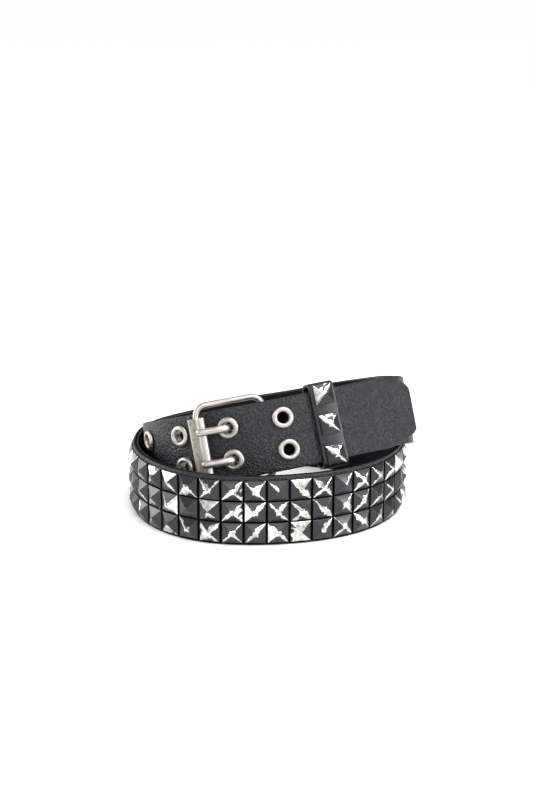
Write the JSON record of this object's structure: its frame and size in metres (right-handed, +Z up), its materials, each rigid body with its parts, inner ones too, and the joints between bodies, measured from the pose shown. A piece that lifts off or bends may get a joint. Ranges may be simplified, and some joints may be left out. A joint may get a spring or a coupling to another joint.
{
  "type": "studded belt",
  "caption": "Leather waist belt with rows of pyramid studs, a two-prong wire buckle, paired eyelets and a studded keeper, fastened and coiled in two turns.",
  "frame": {"origin": "on the floor, below the middle of the coiled belt's bounding box", "axes": "+Z up, across the strap's width where it stands on the floor; +X along the coil's longest side, towards the strap's tip; -Y towards the viewer of the buckle"},
  "size_m": [0.1604, 0.149, 0.0803],
  "materials": {
    "leather": "soft sheen, fine pebble grain",
    "stud_metal": "dark paint scraped to bright metal",
    "nickel": "satin nickel"
  },
  "bodies": {
    "root": {"strap": "leather", "keeper": "leather", "stud_field": "stud_metal", "keeper_stud_upper": "stud_metal", "keeper_stud_middle": "stud_metal", "keeper_stud_lower": "stud_metal", "eyelet_1_upper": "nickel", "eyelet_1_lower": "nickel", "eyelet_2_upper": "nickel", "eyelet_2_lower": "nickel", "eyelet_3_upper": "nickel", "eyelet_3_lower": "nickel", "eyelet_4_upper": "nickel", "eyelet_4_lower": "nickel", "eyelet_5_upper": "nickel", "eyelet_5_lower": "nickel", "buckle_frame": "nickel", "buckle_sleeve": "nickel", "prong_upper": "nickel", "prong_lower": "nickel", "rivet_upper": "nickel", "rivet_lower": "nickel"}
  },
  "joints": []
}
